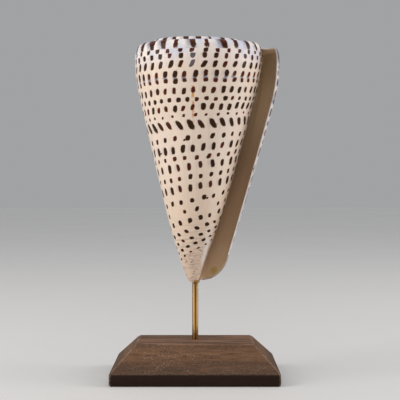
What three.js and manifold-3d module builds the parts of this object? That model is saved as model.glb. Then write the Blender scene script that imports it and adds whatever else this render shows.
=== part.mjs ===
// A leopard-type cone shell, spire up and aperture to the right, on its display stand: a slim brass
// post in a dark wooden block with broad bevels. Millimetres, +Z up, +X to the viewer's right, the
// viewer on the -Y side. The origin is the centre of the block's underside.
import * as THREE from "three";
import { mergeVertices } from "three/addons/utils/BufferGeometryUtils.js";
import Module from "manifold-3d";

const wasm = await Module();
wasm.setup();

// Wooden block
const BLOCK_WIDTH = 80;
const BLOCK_DEPTH = 50;
const BLOCK_HEIGHT = 18;
const BLOCK_BEVEL = 12;
const BLOCK_CORNER_RADIUS = 1.5;

// Brass post, and the gap that it keeps to what it stands in and carries
const POST_DIAMETER = 3;
const POST_IN_BLOCK = 10;
const POST_IN_SHELL = 10;
const POST_SIDES = 32;
const GAP = 0.3;

// Drop of glue round the top of the post, just under the shell
const GLUE_RADIUS = 2.5;
const GLUE_HEIGHT = 1.6;

// Shell: where the tip of its axis is, and how the axis leans (radians)
const TIP = new THREE.Vector3(1, -2, 46.2);
const LEAN_TO_VIEWER = THREE.MathUtils.degToRad(1.4);
const LEAN_TO_RIGHT = THREE.MathUtils.degToRad(1.39);

// The whorls widen by exp(WIDENING * turn) and lengthen by exp(LENGTHENING * turn), with turn in
// radians: 0 faces the viewer, a quarter turn is the left side, and the lip is at LIP_TURN, a little
// in front of the right side.
const WIDENING = 0.04;
const LENGTHENING = 0.032;
const FULL_TURN = 2 * Math.PI;
const LIP_TURN = THREE.MathUtils.degToRad(289);
const BODY_START = LIP_TURN - FULL_TURN;

// Outline of a whorl at turn 0: depths are below the point on the axis that the spiral grows from
const SHELL_LENGTH = 130.9;
const SHOULDER_DEPTH = 23.5;
const SHOULDER_ROUNDING = 4;
const SHOULDER_SQUARENESS = 2 / 3;
const SIDE_RADIUS = 30.98;
const SIDE_SLOPE = 0.2565;
const SIDE_BEND = { depth: 30.1, width: 5.5 };
const TIP_SLOPE = 0.1046;
const TIP_BEND = { depth: 101.5, width: 8 };
const COLUMELLA_RADIUS = 0.8;

// Crest of the shoulder: its depth early in the spire, how it drops where the last whorl starts, and
// how it drops once more, with a squarer shoulder, to the lip
const CREST_DEPTH = 14.4;
const CREST_DROP = 2.3;
const CREST_DROP_TURN = -0.8;
const CREST_DROP_WIDTH = 0.5;
const LIP_DROP = 0.7;
const LIP_DROP_START = 3.5;
const LIP_SHOULDER_ROUNDING = 2.2;
const EARLY_SHOULDER_HEIGHT = 7;
const RAMP_HOLLOW = 0.35;

// Lower rim: it rises towards the lip and, a little, towards the covered side of the body
const RIM_RISE_START = 3.2;
const RIM_CURVE = 2.9;
const RIM_RISE = 14.1;
const BODY_RIM_START = 0.6;
const BODY_RIM_RISE = 1.5;

// The worn tip curves in above the rim, but not where the rim belongs to the lip
const TIP_ROUNDING = 0.24;
const TIP_ROUNDING_HEIGHT = 3.5;
const TIP_ROUNDING_END = { from: 2, to: 3.5 };

// Wall of the last whorl, and how far back from the lip the aperture goes
const LIP_THICKNESS = 0.6;
const WALL_THICKNESS = 2.1;
const WALL_THICKENS_OVER = 1.2;
const HOLLOW_END_UPPER = 0.5;
const HOLLOW_END_LOWER = 3;
const HOLLOW_NARROWS_FROM = 0.6;

// Rows of the outline and columns of the spiral
const SPIRE_TURNS = 5;
const COLUMNS_PER_TURN = 48;
const RAMP_ROWS = 2;
const SHOULDER_ANGLES = [20, 38, 54, 63, 76, 90].map(THREE.MathUtils.degToRad);
const SIDE_ROWS = 12;
const ROW_CROWDING = 0.5;
const HOLLOW_COLUMNS = 34;
const CREST_ROW = RAMP_ROWS;
const SEAM_ROW = CREST_ROW + 3;
const CEILING_ROW = SEAM_ROW + 1;
const SHOULDER_ROW = CREST_ROW + SHOULDER_ANGLES.length;
const LAST_ROW = SHOULDER_ROW + SIDE_ROWS;

const { lerp, smoothstep } = THREE.MathUtils;

const widened = (turn) => Math.exp(WIDENING * turn);
const lengthened = (turn) => Math.exp(LENGTHENING * turn);

// Rises from 0 to a slope of 1, with a soft bend at the given depth.
function bend(depth, { depth: at, width }) {
  const past = depth - at;
  return (past + Math.hypot(past, width)) / 2;
}

function sideRadius(depth) {
  const radius = SIDE_RADIUS - SIDE_SLOPE * bend(depth, SIDE_BEND) - TIP_SLOPE * bend(depth, TIP_BEND);
  return Math.max(radius, COLUMELLA_RADIUS);
}

function crestZ(turn) {
  const dropped = 1 / (1 + Math.exp((CREST_DROP_TURN - turn) / CREST_DROP_WIDTH));
  return -LIP_DROP * smoothstep(turn, LIP_DROP_START, LIP_TURN) - CREST_DEPTH - CREST_DROP * dropped;
}

function shoulderHeight(turn) {
  return Math.max(SHOULDER_DEPTH * lengthened(turn) + crestZ(turn), EARLY_SHOULDER_HEIGHT * widened(turn));
}

function rimZ(turn) {
  const toLip = Math.max(0, (turn - RIM_RISE_START) / (LIP_TURN - RIM_RISE_START));
  const toBody = Math.max(0, (BODY_RIM_START - Math.max(turn, BODY_START)) / (BODY_RIM_START - BODY_START));
  return -SHELL_LENGTH + RIM_RISE * toLip ** RIM_CURVE + BODY_RIM_RISE * toBody ** 2;
}

// A point of the rounded shoulder, as radius and z; angle 0 is the crest, a quarter turn the side.
function shoulderPoint(turn, angle) {
  const inward = 1 - Math.sin(angle) ** SHOULDER_SQUARENESS;
  const down = 1 - Math.max(Math.cos(angle), 0) ** SHOULDER_SQUARENESS;
  const nearLip = smoothstep(turn, LIP_DROP_START, LIP_TURN);
  const rounding = lerp(SHOULDER_ROUNDING, LIP_SHOULDER_ROUNDING, nearLip);
  return new THREE.Vector2(
    (sideRadius(SHOULDER_DEPTH) - rounding * inward) * widened(turn),
    crestZ(turn) - shoulderHeight(turn) * down,
  );
}

function rampPoint(turn, share) {
  const seam = shoulderPoint(turn - FULL_TURN, SHOULDER_ANGLES[SEAM_ROW - CREST_ROW - 1]);
  const point = seam.lerp(shoulderPoint(turn, 0), share);
  point.y -= RAMP_HOLLOW * widened(turn) * Math.sin(Math.PI * share);
  return point;
}

// Rows lie closer together at the shoulder and at the tip, where the side bends.
function sideShare(row) {
  const even = (row - SHOULDER_ROW) / SIDE_ROWS;
  return lerp(even, (1 - Math.cos(Math.PI * even)) / 2, ROW_CROWDING);
}

function sidePoint(turn, share) {
  const shoulderZ = crestZ(turn) - shoulderHeight(turn);
  const z = lerp(shoulderZ, rimZ(turn), share);
  const depth = SHOULDER_DEPTH + (shoulderZ - z) / lengthened(turn);
  const nearRim = Math.max(0, 1 - (z - rimZ(turn)) / TIP_ROUNDING_HEIGHT);
  const worn = 1 - smoothstep(turn, TIP_ROUNDING_END.from, TIP_ROUNDING_END.to);
  const rounded = 1 - TIP_ROUNDING * worn * nearRim ** 2;
  return new THREE.Vector2(sideRadius(depth) * widened(turn) * rounded, z);
}

// The outside of the whorl at a turn and a row: row 0 is the seam on the whorl before.
function outline(turn, row) {
  if (row <= CREST_ROW) return rampPoint(turn, row / RAMP_ROWS);
  if (row < SHOULDER_ROW) return shoulderPoint(turn, SHOULDER_ANGLES[row - CREST_ROW - 1]);
  return sidePoint(turn, sideShare(row));
}

// The same, moved in by the wall's thickness.
function innerOutline(turn, row) {
  const along = outline(turn, Math.min(row + 1, LAST_ROW)).sub(outline(turn, Math.max(row - 1, 0)));
  const thickness = lerp(LIP_THICKNESS, WALL_THICKNESS, smoothstep(LIP_TURN - turn, 0, WALL_THICKENS_OVER));
  const inward = new THREE.Vector2(along.y, -along.x).normalize();
  return outline(turn, row).addScaledVector(inward, thickness);
}

function around(turn, { x: radius, y: z }) {
  return [-radius * Math.sin(turn), -radius * Math.cos(turn), z];
}

// The hollow ends further forward at the tip than under the shoulder.
function hollowTurn(column, row) {
  const low = smoothstep(row, (SHOULDER_ROW + LAST_ROW) / 2, LAST_ROW);
  return lerp(LIP_TURN, lerp(HOLLOW_END_UPPER, HOLLOW_END_LOWER, low), column / HOLLOW_COLUMNS);
}

// Collects points and triangles; equal points are merged afterwards.
class Surface {
  positions = [];

  triangle(a, b, c) {
    this.positions.push(...a, ...b, ...c);
  }

  // Rows of points, each as long as the next. The faces look outwards where the rows run down the
  // outside and the points of a row run the way the shell grows.
  grid(rows) {
    for (let i = 0; i + 1 < rows.length; i++) {
      for (let j = 0; j + 1 < rows[i].length; j++) {
        const [a, b, c, d] = [rows[i][j], rows[i][j + 1], rows[i + 1][j + 1], rows[i + 1][j]];
        this.triangle(a, b, c);
        this.triangle(a, c, d);
      }
    }
  }

  geometry() {
    const geometry = new THREE.BufferGeometry();
    geometry.setAttribute("position", new THREE.Float32BufferAttribute(this.positions, 3));
    return geometry;
  }
}

const range = (from, to) => Array.from({ length: to - from + 1 }, (_, i) => from + i);

// Outside of the spire and of the last whorl.
function addOutside(surface) {
  const firstColumn = -SPIRE_TURNS * COLUMNS_PER_TURN;
  const apex = [0, 0, crestZ(-SPIRE_TURNS * FULL_TURN)];
  const turnAt = (column) => BODY_START + (column / COLUMNS_PER_TURN) * FULL_TURN;
  const pointAt = (column, row) => {
    const inFirstTurn = column < firstColumn + COLUMNS_PER_TURN;
    return row === 0 && inFirstTurn ? apex : around(turnAt(column), outline(turnAt(column), row));
  };
  const spire = range(firstColumn, COLUMNS_PER_TURN);
  const body = range(0, COLUMNS_PER_TURN);
  surface.grid(range(0, SEAM_ROW).map((row) => spire.map((column) => pointAt(column, row))));
  surface.grid(range(SEAM_ROW, LAST_ROW).map((row) => body.map((column) => pointAt(column, row))));
  const start = range(0, SEAM_ROW).map((row) => pointAt(firstColumn, row));
  for (let row = 1; row < SEAM_ROW; row++) surface.triangle(start[0], start[row], start[row + 1]);
}

// The hollow behind the lip: its outer wall, the whorl before it as its floor, and the lip's edge.
function addHollow(surface) {
  const columns = range(0, HOLLOW_COLUMNS);
  const floor = (column, row) => {
    const turn = hollowTurn(column, row) - FULL_TURN;
    return around(turn, outline(turn, row));
  };
  const wall = (column, row) => {
    const turn = hollowTurn(column, row);
    const under = new THREE.Vector3(...floor(column, Math.max(row, CEILING_ROW)));
    if (row === 0) return under.toArray();
    const open = 1 - smoothstep(column / HOLLOW_COLUMNS, HOLLOW_NARROWS_FROM, 1);
    return under.lerp(new THREE.Vector3(...around(turn, innerOutline(turn, row))), open).toArray();
  };
  surface.grid(range(0, LAST_ROW).map((row) => columns.map((column) => wall(column, row))));
  const floorRows = range(CEILING_ROW, LAST_ROW);
  surface.grid(floorRows.map((row) => [...columns].reverse().map((column) => floor(column, row))));
  const edge = (row) => [around(LIP_TURN, outline(LIP_TURN, row)), wall(0, row)];
  surface.grid(range(0, LAST_ROW).map(edge));
  surface.triangle(floor(0, SEAM_ROW), wall(0, 0), floor(0, CEILING_ROW));
  return columns.map((column) => [wall(column, LAST_ROW), floor(column, LAST_ROW)]);
}

// The underside at the tip, one face with the spiral outline of the wall and the solid core.
function addUnderside(surface, hollowRim) {
  const outer = range(0, COLUMNS_PER_TURN).map((column) => {
    const turn = BODY_START + (column / COLUMNS_PER_TURN) * FULL_TURN;
    return around(turn, outline(turn, LAST_ROW));
  });
  const wall = hollowRim.map(([point]) => point);
  const floor = hollowRim.map(([, point]) => point).reverse();
  const loop = [...outer, ...wall, ...floor.slice(1, -1)];
  const flat = loop.map(([x, y]) => new THREE.Vector2(x, y));
  for (const [a, b, c] of THREE.ShapeUtils.triangulateShape(flat, [])) {
    surface.triangle(loop[a], loop[c], loop[b]);
  }
}

function bare(geometry) {
  const plain = geometry.clone();
  plain.deleteAttribute("normal");
  plain.deleteAttribute("uv");
  return mergeVertices(plain, 1e-4);
}

function solidOf(geometry) {
  const merged = bare(geometry);
  const index = merged.index.array;
  const triVerts = [];
  for (let i = 0; i < index.length; i += 3) {
    const [a, b, c] = [index[i], index[i + 1], index[i + 2]];
    if (a !== b && b !== c && c !== a) triVerts.push(a, b, c);
  }
  const mesh = new wasm.Mesh({
    numProp: 3,
    vertProperties: merged.attributes.position.array,
    triVerts: new Uint32Array(triVerts),
  });
  return new wasm.Manifold(mesh);
}

function geometryOf(solid) {
  const { vertProperties, triVerts } = solid.getMesh();
  const geometry = new THREE.BufferGeometry();
  geometry.setAttribute("position", new THREE.BufferAttribute(vertProperties, 3));
  geometry.setIndex(new THREE.BufferAttribute(triVerts, 1));
  const faceted = geometry.toNonIndexed();
  faceted.computeVertexNormals();
  return faceted;
}

// A round bar along the post's axis, from one height to another.
function barGeometry(radius, from, to) {
  const bar = new THREE.CylinderGeometry(radius, radius, to - from, POST_SIDES);
  return bar.rotateX(Math.PI / 2).translate(0, 0, (from + to) / 2);
}

function shellGeometry() {
  const surface = new Surface();
  addOutside(surface);
  addUnderside(surface, addHollow(surface));
  const lean = new THREE.Matrix4().makeRotationFromEuler(
    new THREE.Euler(LEAN_TO_VIEWER, LEAN_TO_RIGHT, 0, "YXZ"),
  );
  const geometry = surface.geometry().translate(0, 0, SHELL_LENGTH).applyMatrix4(lean);
  geometry.translate(TIP.x, TIP.y, TIP.z);
  const postTop = TIP.z + POST_IN_SHELL + GAP;
  const bore = barGeometry(POST_DIAMETER / 2 + GAP, TIP.z - POST_IN_SHELL, postTop);
  return geometryOf(solidOf(geometry).subtract(solidOf(bore)));
}

// A prism with the block's bevelled outline across one way, long enough for the other.
function bevelledPrism(across, length) {
  const half = across / 2;
  const outline = new THREE.Shape([
    new THREE.Vector2(-half, 0),
    new THREE.Vector2(half, 0),
    new THREE.Vector2(half, BLOCK_HEIGHT - BLOCK_BEVEL),
    new THREE.Vector2(half - BLOCK_BEVEL, BLOCK_HEIGHT),
    new THREE.Vector2(-half + BLOCK_BEVEL, BLOCK_HEIGHT),
    new THREE.Vector2(-half, BLOCK_HEIGHT - BLOCK_BEVEL),
  ]);
  const prism = new THREE.ExtrudeGeometry(outline, { depth: length, bevelEnabled: false });
  return prism.translate(0, 0, -length / 2).rotateX(Math.PI / 2);
}

function blockPlanPrism() {
  const [x, y, r] = [BLOCK_WIDTH / 2, BLOCK_DEPTH / 2, BLOCK_CORNER_RADIUS];
  const plan = new THREE.Shape();
  plan.absarc(x - r, y - r, r, 0, Math.PI / 2);
  plan.absarc(-x + r, y - r, r, Math.PI / 2, Math.PI);
  plan.absarc(-x + r, -y + r, r, Math.PI, 1.5 * Math.PI);
  plan.absarc(x - r, -y + r, r, 1.5 * Math.PI, FULL_TURN);
  return new THREE.ExtrudeGeometry(plan, {
    depth: BLOCK_HEIGHT,
    bevelEnabled: false,
    curveSegments: 4,
  });
}

function blockGeometry() {
  const long = solidOf(bevelledPrism(BLOCK_WIDTH, BLOCK_DEPTH * 2));
  const short = solidOf(bevelledPrism(BLOCK_DEPTH, BLOCK_WIDTH * 2).rotateZ(Math.PI / 2));
  const hole = barGeometry(POST_DIAMETER / 2 + GAP, BLOCK_HEIGHT - POST_IN_BLOCK - GAP, BLOCK_HEIGHT + GAP);
  return geometryOf(long.intersect(short).intersect(solidOf(blockPlanPrism())).subtract(solidOf(hole)));
}

function glueGeometry() {
  const top = TIP.z - GAP;
  const inner = POST_DIAMETER / 2 + GAP;
  const [across, high] = [GLUE_RADIUS - inner, GLUE_HEIGHT / 2];
  const profile = new THREE.EllipseCurve(inner, 0, across, high, -Math.PI / 2, Math.PI / 2).getPoints(8);
  const ring = new THREE.LatheGeometry([...profile, profile[0].clone()], 24);
  return ring.rotateX(Math.PI / 2).translate(0, 0, top - GLUE_HEIGHT / 2);
}

const materials = {
  shell: new THREE.MeshStandardMaterial({ color: 0xe3d2c2, roughness: 0.35, metalness: 0 }),
  brass: new THREE.MeshStandardMaterial({ color: 0xd9a75c, roughness: 0.22, metalness: 1 }),
  glue: new THREE.MeshStandardMaterial({ color: 0xa8762a, roughness: 0.3, metalness: 0 }),
  wood: new THREE.MeshStandardMaterial({ color: 0x4a3529, roughness: 0.6, metalness: 0 }),
};

const group = new THREE.Group();

function addPiece(name, geometry, material) {
  const mesh = new THREE.Mesh(geometry, material);
  mesh.name = name;
  group.add(mesh);
}

addPiece("shell", shellGeometry(), materials.shell);
addPiece(
  "post",
  barGeometry(POST_DIAMETER / 2, BLOCK_HEIGHT - POST_IN_BLOCK, TIP.z + POST_IN_SHELL),
  materials.brass,
);
addPiece("glue", glueGeometry(), materials.glue);
addPiece("base", blockGeometry(), materials.wood);

export default group;
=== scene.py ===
"""Cone shell on a brass post in a dark wooden block, laid out as an add-on and run as a script."""
import math
from types import SimpleNamespace

import bpy
import numpy as np
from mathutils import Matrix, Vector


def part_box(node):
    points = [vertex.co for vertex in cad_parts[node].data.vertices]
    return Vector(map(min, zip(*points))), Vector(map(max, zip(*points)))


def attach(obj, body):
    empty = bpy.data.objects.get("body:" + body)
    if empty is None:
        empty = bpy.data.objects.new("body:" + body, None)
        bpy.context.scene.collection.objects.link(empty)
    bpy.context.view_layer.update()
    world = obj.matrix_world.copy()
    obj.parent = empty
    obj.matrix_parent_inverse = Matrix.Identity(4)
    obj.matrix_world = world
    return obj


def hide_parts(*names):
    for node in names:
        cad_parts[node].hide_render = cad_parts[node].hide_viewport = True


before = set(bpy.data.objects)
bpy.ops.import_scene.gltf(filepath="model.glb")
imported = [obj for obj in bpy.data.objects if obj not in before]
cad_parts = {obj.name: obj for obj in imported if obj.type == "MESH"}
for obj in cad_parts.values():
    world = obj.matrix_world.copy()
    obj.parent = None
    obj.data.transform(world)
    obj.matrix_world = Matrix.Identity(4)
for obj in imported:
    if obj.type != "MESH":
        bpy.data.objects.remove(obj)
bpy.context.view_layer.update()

bl_info = {
    "name": "Cone shell on stand",
    "version": (1, 0, 0),
    "blender": (4, 5, 0),
    "location": "3D View > Sidebar > Cone shell",
    "description": "Models a leopard-type cone shell on its brass and wood display stand",
    "category": "Object",
}

MM = 0.001
FULL_TURN = 2 * math.pi


class ShellSettings(bpy.types.PropertyGroup):
    """Sizes and colours of the shell; lengths are real metres."""

    tip: bpy.props.FloatVectorProperty(
        name="Tip", description="Lower end of the shell's axis", default=(0.001, -0.002, 0.0462),
        subtype="TRANSLATION", unit="LENGTH")
    length: bpy.props.FloatProperty(
        name="Length", description="From the point that the spiral grows from to the tip",
        default=0.1309, unit="LENGTH")
    lean_to_viewer: bpy.props.FloatProperty(
        name="Lean to viewer", description="How far the spire leans to the viewer",
        default=math.radians(1.4), subtype="ANGLE")
    lean_to_right: bpy.props.FloatProperty(
        name="Lean to right", description="How far the spire leans to the right",
        default=math.radians(1.39), subtype="ANGLE")
    cream: bpy.props.FloatVectorProperty(
        name="Cream", description="Ground colour of the outside", subtype="COLOR",
        default=(0.75, 0.62, 0.510))
    white: bpy.props.FloatVectorProperty(
        name="White", description="Colour of the shoulder and spire", subtype="COLOR",
        default=(0.78, 0.735, 0.71))
    spot: bpy.props.FloatVectorProperty(
        name="Spot", description="Dark brown of the spots", subtype="COLOR",
        default=(0.026, 0.0105, 0.0035))
    rust: bpy.props.FloatVectorProperty(
        name="Rust", description="Red-brown of some spots", subtype="COLOR",
        default=(0.108, 0.014, 0.007))
    smear: bpy.props.FloatVectorProperty(
        name="Smear", description="Blue-grey beside some spots", subtype="COLOR",
        default=(0.16, 0.165, 0.23))
    # The aperture's beige is painted shade: browner and darker than the near-white inside of the real shell
    inside: bpy.props.FloatVectorProperty(
        name="Inside", description="Beige of the aperture", subtype="COLOR",
        default=(0.54, 0.36, 0.213))


class StandSettings(bpy.types.PropertyGroup):
    """Sizes and colours of the post, the glue and the block."""

    post_diameter: bpy.props.FloatProperty(
        name="Post diameter", description="Thickness of the brass rod", default=0.003, unit="LENGTH")
    block_bevel: bpy.props.FloatProperty(
        name="Block bevel", description="Width and height of the block's slopes",
        default=0.012, unit="LENGTH")
    glue_radius: bpy.props.FloatProperty(
        name="Glue radius", description="Half width of the drop of glue", default=0.0022,
        unit="LENGTH")
    brass: bpy.props.FloatVectorProperty(
        name="Brass", description="Colour of the rod", subtype="COLOR", default=(0.70, 0.42, 0.15))
    glue: bpy.props.FloatVectorProperty(
        name="Glue", description="Colour of the set glue", subtype="COLOR",
        default=(0.34, 0.18, 0.02))
    wood_dark: bpy.props.FloatVectorProperty(
        name="Dark wood", description="Stain in the grain", subtype="COLOR",
        default=(0.052, 0.030, 0.020))
    wood_light: bpy.props.FloatVectorProperty(
        name="Light wood", description="Stain between the grain", subtype="COLOR",
        default=(0.125, 0.063, 0.033))
    wood_worn: bpy.props.FloatVectorProperty(
        name="Worn wood", description="Rubbed edges", subtype="COLOR", default=(0.30, 0.225, 0.17))


class StageSettings(bpy.types.PropertyGroup):
    """The floor and the camera."""

    floor_size: bpy.props.FloatProperty(
        name="Floor size", description="Side of the floor", default=6.0, unit="LENGTH")
    floor: bpy.props.FloatVectorProperty(
        name="Floor", description="Colour of the floor", subtype="COLOR", default=(0.62, 0.61, 0.60))
    camera_place: bpy.props.FloatVectorProperty(
        name="Camera", description="Where the camera stands", default=(0.00235, -0.450, 0.0949),
        subtype="TRANSLATION", unit="LENGTH")
    camera_shift: bpy.props.FloatProperty(
        name="Camera shift", description="Shift of the lens, in widths of the picture", default=-0.045)
    lens: bpy.props.FloatProperty(
        name="Lens", description="Focal length in millimetres", default=82.7)


# Form of the shell, in millimetres and radians, with the names and values of the solid. The whorls
# widen by exp(WIDENING * turn) and lengthen by exp(LENGTHENING * turn). Turn 0 faces the viewer and a
# quarter turn is the left side.
WIDENING = 0.04
LENGTHENING = 0.032
LIP_TURN = math.radians(289)
BODY_START = LIP_TURN - FULL_TURN
SHOULDER_DEPTH = 23.5
SHOULDER_ROUNDING = 4.0
SHOULDER_SQUARENESS = 2 / 3
SIDE_RADIUS = 30.98
SIDE_SLOPE = 0.2565
SIDE_BEND = (30.1, 5.5)
TIP_SLOPE = 0.1046
TIP_BEND = (101.5, 8.0)
COLUMELLA_RADIUS = 0.8
CREST_DEPTH = 14.4
CREST_DROP = 2.3
CREST_DROP_TURN = -0.8
CREST_DROP_WIDTH = 0.5
LIP_DROP = 0.7
LIP_DROP_START = 3.5
LIP_SHOULDER_ROUNDING = 2.2
EARLY_SHOULDER_HEIGHT = 7
RAMP_HOLLOW = 0.35
RIM_RISE_START = 3.2
RIM_CURVE = 2.9
RIM_RISE = 14.1
BODY_RIM_START = 0.6
BODY_RIM_RISE = 1.5
TIP_ROUNDING = 0.24
TIP_ROUNDING_HEIGHT = 3.5
TIP_ROUNDING_END = (2.0, 3.5)
LIP_THICKNESS = 0.6
WALL_THICKNESS = 2.1
WALL_THICKENS_OVER = 1.2
HOLLOW_END_UPPER = 0.5
HOLLOW_END_LOWER = 3.0
HOLLOW_NARROWS_FROM = 0.6
SEAM_ANGLE = math.radians(54)
CEILING_ANGLE = math.radians(63)

# Finer forms: the apex, the lip's round edge and faint waves of growth, each wave with its number in
# a turn, its share and its phase
APEX_RISE = 0.35
LIP_EDGE_ROUNDING = 0.45
WAVE_HEIGHT = 0.03
WAVES = [(23, 1.0, 1.3), (57, 0.7, 0.0), (101, 0.5, 0.4)]

# How finely the shell is meshed
SPIRE_TURNS = 8
COLUMNS_PER_TURN = 192
HOLLOW_COLUMNS = 130
RAMP_ROWS = 6
SHOULDER_ROWS = 18
SIDE_ROWS = 104
LIP_EDGE_STEPS = 6
CREST_ROW = RAMP_ROWS
SEAM_ROW = CREST_ROW + 10
CEILING_ROW = SEAM_ROW + 1
SHOULDER_ROW = CREST_ROW + SHOULDER_ROWS
LAST_ROW = SHOULDER_ROW + SIDE_ROWS
MERGE_DISTANCE = 2e-6

# The covered side of the body goes from patterned to beige over these angles, counted from where
# the lip covers it, and sooner in the rows near the tip
COVERED_OVER = (0.25, 0.9)
COVERED_OVER_AT_TIP = (0, 0.05)
COVERED_TIP_ROWS = (LAST_ROW - 40, LAST_ROW - 25)


def widened(turn):
    return np.exp(WIDENING * turn)


def lengthened(turn):
    return np.exp(LENGTHENING * turn)


def smooth(value, low, high):
    share = np.clip((value - low) / (high - low), 0, 1)
    return share * share * (3 - 2 * share)


def bend(depth, at, width):
    """Rises from 0 to a slope of 1, with a soft bend at the given depth."""
    past = depth - at
    return (past + np.hypot(past, width)) / 2


def side_radius(depth):
    radius = SIDE_RADIUS - SIDE_SLOPE * bend(depth, *SIDE_BEND) - TIP_SLOPE * bend(depth, *TIP_BEND)
    return np.maximum(radius, COLUMELLA_RADIUS)


def crest_z(turn):
    dropped = 1 / (1 + np.exp((CREST_DROP_TURN - turn) / CREST_DROP_WIDTH))
    return -LIP_DROP * smooth(turn, LIP_DROP_START, LIP_TURN) - CREST_DEPTH - CREST_DROP * dropped


def shoulder_height(turn):
    height = SHOULDER_DEPTH * lengthened(turn) + crest_z(turn)
    return np.maximum(height, EARLY_SHOULDER_HEIGHT * widened(turn))


def rim_z(turn, length):
    to_lip = np.maximum(0, (turn - RIM_RISE_START) / (LIP_TURN - RIM_RISE_START))
    before = BODY_RIM_START - np.maximum(turn, BODY_START)
    to_body = np.maximum(0, before / (BODY_RIM_START - BODY_START))
    return -length + RIM_RISE * to_lip ** RIM_CURVE + BODY_RIM_RISE * to_body ** 2


def shoulder_point(turn, angle):
    """Radius and z on the rounded shoulder; angle 0 is the crest, a quarter turn the side."""
    inward = 1 - math.sin(angle) ** SHOULDER_SQUARENESS
    down = 1 - max(math.cos(angle), 0) ** SHOULDER_SQUARENESS
    near_lip = smooth(turn, LIP_DROP_START, LIP_TURN)
    rounding = SHOULDER_ROUNDING + (LIP_SHOULDER_ROUNDING - SHOULDER_ROUNDING) * near_lip
    radius = (side_radius(SHOULDER_DEPTH) - rounding * inward) * widened(turn)
    return radius, crest_z(turn) - shoulder_height(turn) * down


def shoulder_angle(row):
    """Closer together at both ends, where the curve is tightest for its angle."""
    if row == SEAM_ROW:
        return SEAM_ANGLE
    if row == CEILING_ROW:
        return CEILING_ANGLE
    return math.pi / 4 * (1 - math.cos(math.pi * (row - CREST_ROW) / SHOULDER_ROWS))


def side_share(row):
    """Rows lie closer together at the shoulder and at the tip, where the side bends."""
    even = (row - SHOULDER_ROW) / SIDE_ROWS
    return (even + (1 - math.cos(math.pi * even)) / 2) / 2


def outline(turn, row, length):
    """Radius and z of the outside at some turns and one row; row 0 is the seam on the whorl before."""
    if row <= CREST_ROW:
        share = row / RAMP_ROWS
        seam = shoulder_point(turn - FULL_TURN, SEAM_ANGLE)
        crest = shoulder_point(turn, 0)
        radius = seam[0] + (crest[0] - seam[0]) * share
        hollow = RAMP_HOLLOW * widened(turn) * math.sin(math.pi * share)
        return radius, seam[1] + (crest[1] - seam[1]) * share - hollow
    if row < SHOULDER_ROW:
        return shoulder_point(turn, shoulder_angle(row))
    shoulder_z = crest_z(turn) - shoulder_height(turn)
    rim = rim_z(turn, length)
    z = shoulder_z + (rim - shoulder_z) * side_share(row)
    depth = SHOULDER_DEPTH + (shoulder_z - z) / lengthened(turn)
    near_rim = np.maximum(0, 1 - (z - rim) / TIP_ROUNDING_HEIGHT)
    rounded = 1 - TIP_ROUNDING * (1 - smooth(turn, *TIP_ROUNDING_END)) * near_rim ** 2
    return side_radius(depth) * widened(turn) * rounded, z


class Whorls:
    """The shell's surfaces as radius, height and pattern place, before the shell leans."""

    def __init__(self, settings):
        self.settings = settings
        self.length = settings.length / MM

    def outside(self, turn, row):
        radius, z = outline(turn, row, self.length)
        if row >= SHOULDER_ROW:
            return radius + self.relief(turn, row), z
        return radius, z

    def relief(self, turn, row):
        """Faint waves of growth, which fade out at the shoulder and the tip."""
        share = (row - SHOULDER_ROW) / SIDE_ROWS
        fade = math.sin(math.pi * min(share * 1.5, 1) / 2) * (1 - share)
        waves = sum(size * np.sin(rate * turn + phase) for rate, size, phase in WAVES)
        return -WAVE_HEIGHT * fade * (1 + waves / sum(size for _, size, _ in WAVES))

    def inner(self, turn, row):
        """The outside, moved in by the wall's thickness."""
        after = outline(turn, min(row + 1, LAST_ROW), self.length)
        before = outline(turn, max(row - 1, 0), self.length)
        along = np.array([after[0] - before[0], after[1] - before[1]])
        along /= np.hypot(*along)
        behind_lip = smooth(LIP_TURN - turn, 0, WALL_THICKENS_OVER)
        thickness = LIP_THICKNESS + (WALL_THICKNESS - LIP_THICKNESS) * behind_lip
        radius, z = outline(turn, row, self.length)
        return radius + along[1] * thickness, z - along[0] * thickness

    def hollow_turn(self, column, row):
        low = float(smooth(row, (SHOULDER_ROW + LAST_ROW) / 2, LAST_ROW))
        end = HOLLOW_END_UPPER + (HOLLOW_END_LOWER - HOLLOW_END_UPPER) * low
        return LIP_TURN + (end - LIP_TURN) * column / HOLLOW_COLUMNS

    def side_depth(self, turn, row):
        return -outline(turn, row, self.length)[1] / np.exp(SPOT_TWIST * turn)

    def pattern_depth(self, turn, row):
        """Depth that the rows of spots follow: along the side by depth, above it by arc length."""
        if row >= SHOULDER_ROW:
            return self.side_depth(turn, row)
        above = 0
        for step in range(row, SHOULDER_ROW):
            low = outline(turn, step + 1, self.length)
            high = outline(turn, step, self.length)
            above = above + np.hypot(low[0] - high[0], low[1] - high[1])
        return self.side_depth(np.maximum(turn, BODY_START), SHOULDER_ROW) - above / widened(turn)

    def place(self, turn, radius, z):
        """World place in metres, once the shell leans and stands on its post."""
        x, y, up = -radius * np.sin(turn), -radius * np.cos(turn), z + self.length
        pitch, roll = self.settings.lean_to_viewer, self.settings.lean_to_right
        y, up = y * math.cos(pitch) - up * math.sin(pitch), y * math.sin(pitch) + up * math.cos(pitch)
        x, up = x * math.cos(roll) + up * math.sin(roll), -x * math.sin(roll) + up * math.cos(roll)
        return np.stack([x, y, up], -1) * MM + np.array(self.settings.tip)


def deselect_all():
    if bpy.context.mode != "OBJECT":
        bpy.ops.object.mode_set(mode="OBJECT")
    bpy.ops.object.select_all(action="DESELECT")


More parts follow.
